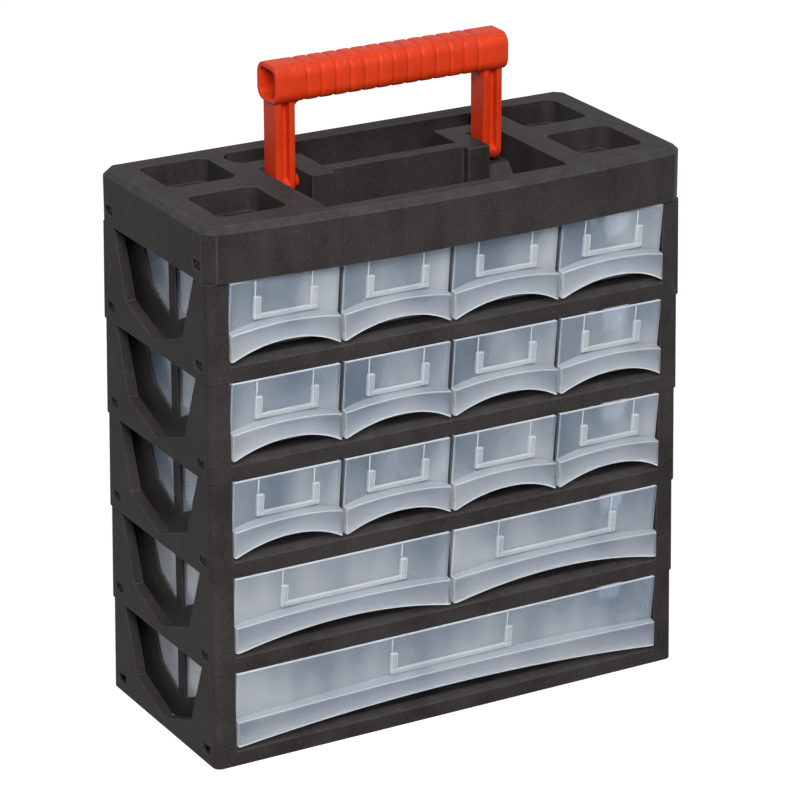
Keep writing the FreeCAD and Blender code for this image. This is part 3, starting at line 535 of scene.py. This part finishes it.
def softened(node, width=0.4 * MM):
    """A merged copy of a solid's mesh with a small round on every edge sharper than the limit angle.

    The attribute set here says how pale a face is painted: most on the rounds, which hands rub, less on
    upward slopes, where it is a painted sheen from the light above, and else nought.
    """
    limit = math.radians(32)
    mesh = frame["nodes"][node].data.copy()
    mesh.name = f"{node}_soft"
    merged = bmesh.new()
    merged.from_mesh(mesh)
    bmesh.ops.remove_doubles(merged, verts=merged.verts, dist=MERGE_WITHIN)
    bmesh.ops.join_triangles(merged, faces=merged.faces, angle_face_threshold=math.radians(0.5),
                             angle_shape_threshold=math.radians(180))
    wear_and_sheen = merged.faces.layers.float.new("wear_and_sheen")
    sharp = [edge for edge in merged.edges if edge.is_manifold and edge.calc_face_angle() > limit]
    rounds = bmesh.ops.bevel(
        merged, geom=sharp, offset=width, offset_type="OFFSET", segments=2, profile=0.5, affect="EDGES",
        clamp_overlap=False, loop_slide=False, miter_outer="ARC", material=-1)
    for face in merged.faces:
        face.smooth = True
        # Upward slopes get a painted sheen where the light from above falls on them. The rounds get wear.
        face[wear_and_sheen] = SLOPE_SHEEN if SLOPE_LOW < face.normal.z < SLOPE_HIGH else 0.0
    for face in rounds["faces"]:
        face[wear_and_sheen] = ROUND_WORN
    merged.to_mesh(mesh)
    merged.free()
    mesh.set_sharp_from_angle(angle=limit)
    piece = bpy.data.objects.new(f"{node}_soft", mesh)
    bpy.context.scene.collection.objects.link(piece)
    flat_first(piece)
    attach(piece, BODY_OF[node])
    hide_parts(node)
    return piece


frame_nodes = [node for node in sorted(frame["nodes"]) if node.startswith("drawer_frame")]
frames = [softened(node) for node in frame_nodes]
tray = softened("top_tray", 0.6 * MM)
print("softened:", len(frames) + 1)

# %% [markdown]
# ## The dark plastic
# The frames and tray are moulded in a warm black plastic with a fine grain. It isn't even: there are faint
# upright flow marks, cloudy patches, specks and small scuffs. A painted image could show these, but noise at
# several sizes needs none. It uses Object coordinates, so the pattern stays put on each piece.

# Worn rounds are paler, and upward slopes get a painted sheen from the light above.

# %% Nodes by short names
def node_adder(tree):
    """A helper that adds a node to the tree, with its settings and its inputs' values or links."""
    def add(kind, inputs=None, **settings):
        node = tree.nodes.new(kind)
        for key, value in settings.items():
            setattr(node, key, value)
        for key, value in (inputs or {}).items():
            if isinstance(value, bpy.types.NodeSocket):
                tree.links.new(value, node.inputs[key])
            else:
                node.inputs[key].default_value = value
        return node

    return add


def new_material(name):
    """A node material with its shader, its helper for new nodes and its links."""
    material = bpy.data.materials.new(name)
    material.use_nodes = True
    tree = material.node_tree
    return material, tree.nodes["Principled BSDF"], node_adder(tree), tree.links


def ramp(add, value, low, high, first, last):
    """A colour that goes from first to last as value goes from low to high."""
    node = add("ShaderNodeValToRGB", {"Fac": value})
    node.color_ramp.elements[0].position = low
    node.color_ramp.elements[1].position = high
    node.color_ramp.elements[0].color = (*first, 1)
    node.color_ramp.elements[1].color = (*last, 1)
    return node.outputs["Color"]


def spread(add, value, low, high):
    """Value from 0..1 spread over low..high."""
    node = add("ShaderNodeMapRange", {"Value": value, "To Min": low, "To Max": high})
    return node.outputs["Result"]


def noise(add, where, scale, detail=3.0, rough=0.55):
    """Cloudy noise whose patches get smaller as the scale grows."""
    return add("ShaderNodeTexNoise", {"Vector": where, "Scale": scale, "Detail": detail, "Roughness": rough})


def dark_plastic(name, streaks):
    """Warm black: clouds and flow marks set the colour, and specks, scuffs, wear and a painted sheen lighten
    it.
    """
    material, shader, add, links = new_material(name)
    where = add("ShaderNodeTexCoord").outputs["Object"]
    tall = add("ShaderNodeMapping", {"Vector": where, "Scale": (1, 1, 0.04)}).outputs["Vector"]
    slanted = add("ShaderNodeMapping", {"Vector": where, "Rotation": (0.5, 0.3, 0.4), "Scale": (1, 0.06, 1)})
    cloud = noise(add, where, 30, 4).outputs["Fac"]
    flow = noise(add, tall, 70, 2).outputs["Fac"]
    grain = noise(add, where, 2400, 2).outputs["Fac"]
    scuffs = noise(add, slanted.outputs["Vector"], 420, 2).outputs["Fac"]
    mixed = add("ShaderNodeMix", {"Factor": streaks, "A": cloud, "B": flow}).outputs["Result"]
    mottled = add("ShaderNodeMix", {"Factor": 0.3, "A": mixed, "B": noise(add, where, 700, 2).outputs["Fac"]})
    tone = ramp(add, mottled.outputs["Result"], 0.36, 0.66, (0.027, 0.0238, 0.0231), (0.057, 0.0512, 0.0508))
    speck = ramp(add, noise(add, where, 760, 1).outputs["Fac"], 0.70, 0.78, (0, 0, 0), (0.4, 0.4, 0.4))
    scratch = ramp(add, scuffs, 0.70, 0.80, (0, 0, 0), (0.22, 0.22, 0.22))
    flecked = add("ShaderNodeMix", {"Factor": speck, "A": tone, "B": (0.16, 0.15, 0.15, 1)}, data_type="RGBA")
    scuffed = add("ShaderNodeMix", {"Factor": scratch, "A": flecked.outputs["Result"],
                                    "B": (0.14, 0.13, 0.13, 1)}, data_type="RGBA")
    # Wear on the rounds and a painted sheen on upward slopes, broken into patches, make the colour paler.
    wear_and_sheen_amount = add("ShaderNodeAttribute", attribute_name="wear_and_sheen").outputs["Fac"]
    patchy = spread(add, noise(add, where, 140).outputs["Fac"], 0.0, 0.9)
    rubbed = add("ShaderNodeMath", {0: wear_and_sheen_amount, 1: patchy}, operation="MULTIPLY")
    worn_and_sheened = add("ShaderNodeMix", {"Factor": rubbed.outputs["Value"], "A": scuffed.outputs["Result"],
                                  "B": (0.12, 0.116, 0.122, 1)}, data_type="RGBA")
    links.new(worn_and_sheened.outputs["Result"], shader.inputs["Base Color"])
    links.new(spread(add, cloud, 0.38, 0.66), shader.inputs["Roughness"])
    bump = add("ShaderNodeBump", {"Height": grain, "Strength": 0.16, "Distance": 0.0002})
    soft = add("ShaderNodeBump", {"Height": flow, "Strength": 0.10, "Distance": 0.0006,
                                  "Normal": bump.outputs["Normal"]})
    links.new(soft.outputs["Normal"], shader.inputs["Normal"])
    shader.inputs["Specular IOR Level"].default_value = 0.03
    return material


frame_plastic = dark_plastic("warm_black_frame", 0.15)
tray_plastic = dark_plastic("warm_black_tray", 0.4)
for piece in frames:
    piece.data.materials.clear()
    piece.data.materials.append(frame_plastic)
tray.data.materials.clear()
tray.data.materials.append(tray_plastic)
print("dark plastic on", len(frames) + 1, "pieces")

# %% [markdown]
# ## The orange plastic
# The handle is a bright red-orange, a little glossier than the frames, with a fine moulded grain. Pale flakes
# show where hands have rubbed the upper corners of the grip. They could be painted on, but the grip's edge
# attribute already says where the corners are, and noise breaks it into flakes.

# %% Orange handle
material, shader, add, links = new_material("red_orange_handle")
where = add("ShaderNodeTexCoord").outputs["Object"]
cloud = noise(add, where, 60).outputs["Fac"]
grain = noise(add, where, 1800, 2).outputs["Fac"]
orange = ramp(add, cloud, 0.3, 0.75, (0.60, 0.033, 0.004), (0.75, 0.050, 0.008))
flakes = ramp(add, noise(add, where, 900, 3).outputs["Fac"], 0.50, 0.66, (0, 0, 0), (0.55, 0.55, 0.55))
upper = add("ShaderNodeAttribute", attribute_name="edge").outputs["Fac"]
rubbed = add("ShaderNodeMath", {0: upper, 1: flakes}, operation="MULTIPLY").outputs["Value"]
pale = add("ShaderNodeMix", {"Factor": rubbed, "A": orange, "B": (0.80, 0.30, 0.20, 1)}, data_type="RGBA")
links.new(pale.outputs["Result"], shader.inputs["Base Color"])
links.new(spread(add, cloud, 0.42, 0.60), shader.inputs["Roughness"])
bump = add("ShaderNodeBump", {"Height": grain, "Strength": 0.10, "Distance": 0.0002})
links.new(bump.outputs["Normal"], shader.inputs["Normal"])
shader.inputs["Specular IOR Level"].default_value = 0.2
handle.data.materials.append(material)
print("handle material:", material.name)

# %% [markdown]
# ## The clear plastic
# The drawers are a milky see-through plastic: part of the light goes through, blurred, and part is scattered
# back. A pane of clear glass would be wrong. The shader shares the light between the two with its
# transmission. The rings' attributes make rims and lips whiter and less clear, and the aprons grainy.
# The milkiness attribute also paints shade on each tub: clearer, so darker and bluer, towards its top, and
# milkier, so lighter, towards its foot.

# %% Milky drawers
material, shader, add, links = new_material("milky_drawer")
where = add("ShaderNodeTexCoord").outputs["Object"]
upright = add("ShaderNodeMapping", {"Vector": where, "Scale": (1, 1, 0.35)}).outputs["Vector"]
cloud = noise(add, upright, 34, 1).outputs["Fac"]
grain = noise(add, where, 1000, 2).outputs["Fac"]
edge = add("ShaderNodeAttribute", attribute_name="edge").outputs["Fac"]
moulded = add("ShaderNodeAttribute", attribute_name="grain").outputs["Fac"]
# The milkiness attribute is the plastic's haze plus the tubs' painted shade, darker towards the top and
# lighter towards the foot.
milk = add("ShaderNodeAttribute", attribute_name="haze_and_shade").outputs["Fac"]
clouded = add("ShaderNodeMath", {0: spread(add, cloud, -0.6, 0.6), 1: milk}, operation="ADD", use_clamp=True)
milk = clouded.outputs["Value"]
body_colour = ramp(add, milk, 0.0, 0.85, (0.43, 0.56, 0.72), (0.79, 0.83, 0.89))
grey = add("ShaderNodeMix", {"Factor": spread(add, moulded, 0.0, 0.7), "A": body_colour,
                             "B": (0.62, 0.622, 0.64, 1)}, data_type="RGBA").outputs["Result"]
either_way = spread(add, grain, -0.9, 0.9)
speckle = add("ShaderNodeMath", {0: either_way, 1: moulded}, operation="MULTIPLY").outputs["Value"]
milk = add("ShaderNodeMath", {0: milk, 1: speckle}, operation="ADD", use_clamp=True).outputs["Value"]
white_edge = add("ShaderNodeMix", {"Factor": edge, "A": grey, "B": (0.90, 0.92, 0.94, 1)}, data_type="RGBA")
links.new(white_edge.outputs["Result"], shader.inputs["Base Color"])
clear = add("ShaderNodeMix", {"Factor": edge, "A": spread(add, milk, 0.90, 0.60), "B": 0.25})
links.new(clear.outputs["Result"], shader.inputs["Transmission Weight"])
links.new(spread(add, moulded, 0.13, 0.32), shader.inputs["Roughness"])
strength = spread(add, moulded, 0.0, 0.35)
bump = add("ShaderNodeBump", {"Height": grain, "Strength": strength, "Distance": 0.0003})
links.new(bump.outputs["Normal"], shader.inputs["Normal"])
shader.inputs["IOR"].default_value = 1.30
for piece in drawers:
    piece.data.materials.append(material)
print("drawer material:", material.name)

# %% [markdown]
# ## Floor, light and camera
# The photograph is a studio cut-out: white all round, soft light from above and from the front, and a long
# lens a little above the top. The floor could be left out, but then the object would float. So the floor
# glows, and the world is at its brightest, only for rays that are seen directly, and the floor keeps the
# object's shadow. Under the object the glow stops, so that no white shows up through the frames' holes. The
# camera's place and angle were fitted to the frame's corners in the photograph.

# %% Floor and world
def seen_directly(add):
    """1 for rays from the camera, a reflection or a clear piece, and 0 for the rays that carry light."""
    path = add("ShaderNodeLightPath").outputs
    seen = path["Is Camera Ray"]
    for other in ("Is Glossy Ray", "Is Transmission Ray"):
        seen = add("ShaderNodeMath", {0: seen, 1: path[other]}, operation="MAXIMUM").outputs["Value"]
    return seen


def outside_foot(add, where, node, rim, most):
    """0 well under a node, rising over a ramp as wide as rim to most at its outline and outside.

    A point's distance from the inner rectangle is the length of max(|p - middle| - half, 0).
    """
    low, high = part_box(node)
    middle = (low + high) / 2
    half = (high - low) / 2 - Vector((rim, rim, 0))

    def step(operation, *values):
        return add("ShaderNodeVectorMath", dict(enumerate(values)), operation=operation).outputs

    aside = step("SUBTRACT", where, (middle.x, middle.y, 0))["Vector"]
    aside = step("ABSOLUTE", aside)["Vector"]
    aside = step("SUBTRACT", aside, (half.x, half.y, 0))["Vector"]
    aside = step("MAXIMUM", aside, (0, 0, 0))["Vector"]
    away = step("LENGTH", aside)["Value"]
    ramped = add("ShaderNodeMapRange", {"Value": away, "From Max": rim, "To Min": 0.0, "To Max": most})
    return ramped.outputs["Result"]


FLOOR_GLOW, WORLD_LIGHT, WORLD_SEEN = 0.78, 0.22, 1.0
FLOOR_REACH = 6
floor_corners = [(x * FLOOR_REACH, y * FLOOR_REACH, 0) for x, y in ((-1, -1), (1, -1), (1, 1), (-1, 1))]
floor_mesh = bpy.data.meshes.new("floor")
floor_mesh.from_pydata(floor_corners, [], [(0, 1, 2, 3)])
floor = bpy.data.objects.new("floor", floor_mesh)
bpy.context.scene.collection.objects.link(floor)
material, shader, add, links = new_material("pale_floor")
where = add("ShaderNodeTexCoord").outputs["Object"]
cloud = noise(add, where, 3).outputs["Fac"]
links.new(ramp(add, cloud, 0.2, 0.8, (0.50, 0.50, 0.50), (0.52, 0.52, 0.52)), shader.inputs["Base Color"])
shader.inputs["Roughness"].default_value = 0.9
shader.inputs["Specular IOR Level"].default_value = 0.1
shader.inputs["Emission Color"].default_value = (1, 1, 1, 1)
glow = outside_foot(add, where, "drawer_frame_5", 6 * MM, FLOOR_GLOW)
shown = add("ShaderNodeMath", {0: seen_directly(add), 1: glow}, operation="MULTIPLY").outputs["Value"]
links.new(shown, shader.inputs["Emission Strength"])
floor_mesh.materials.append(material)

world = bpy.data.worlds.new("studio")
bpy.context.scene.world = world
world.use_nodes = True
background = world.node_tree.nodes["Background"]
background.inputs["Color"].default_value = (1, 1, 1, 1)
add = node_adder(world.node_tree)
strength = spread(add, seen_directly(add), WORLD_LIGHT, WORLD_SEEN)
world.node_tree.links.new(strength, background.inputs["Strength"])
print("floor and world ready")


# %% Lamps
def lamp(name, place, aim, size, power):
    """A square soft lamp at a place, turned to face its aim."""
    data = bpy.data.lights.new(name, "AREA")
    data.size = size
    data.energy = power
    lamp_object = bpy.data.objects.new(name, data)
    bpy.context.scene.collection.objects.link(lamp_object)
    lamp_object.location = place
    direction = np.array(aim) - np.array(place)
    lamp_object.rotation_euler = Vector(direction).to_track_quat("-Z", "Y").to_euler()
    return lamp_object


lamp("key_lamp", (-0.8, -1.7, 1.7), (0, 0, 0.2), 1.0, 50)
lamp("top_lamp", (0.0, 0.2, 2.2), (0, 0, 0.2), 1.4, 6)
print("lamps:", len(bpy.data.lights))

# %% Camera
AZIMUTH, ELEVATION, ROLL = (math.radians(value) for value in (-29.555, 20.958, -0.122))
# Distance, shifts, target, lens and sensor are in millimetres.
DISTANCE, SHIFT_RIGHT, SHIFT_UP = 2240.233, 3.514, 0.759
TARGET = np.array([0, 4.75, 170])
LENS, SENSOR = 175.807, 36
back = np.array([math.sin(AZIMUTH) * math.cos(ELEVATION), -math.cos(AZIMUTH) * math.cos(ELEVATION),
                 math.sin(ELEVATION)])
right = np.array([math.cos(AZIMUTH), math.sin(AZIMUTH), 0])
up = np.cross(back, right)
turned_right = right * math.cos(ROLL) + up * math.sin(ROLL)
turned_up = up * math.cos(ROLL) - right * math.sin(ROLL)
place = back * DISTANCE + turned_right * SHIFT_RIGHT + turned_up * SHIFT_UP + TARGET
camera_data = bpy.data.cameras.new("camera")
camera_data.lens = LENS
camera_data.sensor_width = SENSOR
camera_data.sensor_fit = "HORIZONTAL"
camera_data.clip_end = 50
camera = bpy.data.objects.new("camera", camera_data)
bpy.context.scene.collection.objects.link(camera)
matrix = np.eye(4)
matrix[:3, 0], matrix[:3, 1], matrix[:3, 2], matrix[:3, 3] = turned_right, turned_up, back, place * MM
camera.matrix_world = Matrix(matrix.tolist())
bpy.context.scene.camera = camera
bpy.context.scene.view_settings.view_transform = "Standard"
print("camera at", np.round(place * MM, 3))
